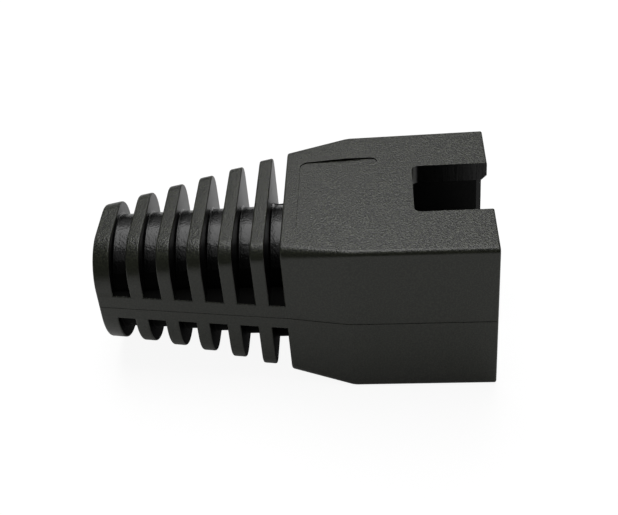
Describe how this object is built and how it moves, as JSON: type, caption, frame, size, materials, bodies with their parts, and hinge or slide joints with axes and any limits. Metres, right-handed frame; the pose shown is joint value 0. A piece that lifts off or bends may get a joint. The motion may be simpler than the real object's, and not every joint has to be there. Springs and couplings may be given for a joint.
{
  "type": "rj45 strain relief boot",
  "caption": "Soft plastic strain relief boot for a modular data plug: open rectangular plug socket with a latch notch, tapering into a ribbed tail with a round cable bore.",
  "frame": {"origin": "axis of the cable bore at the tail's free end face", "axes": "+X along the cable from the tail end to the plug socket's mouth, +Z towards the latch side, so z = 0 is the mould's parting plane"},
  "size_m": [0.0258, 0.0136, 0.0111],
  "materials": {
    "boot_plastic": "soft black moulding, finely spark-eroded outside and smooth in the slots"
  },
  "bodies": {
    "root": {"boot": "boot_plastic"}
  },
  "joints": []
}
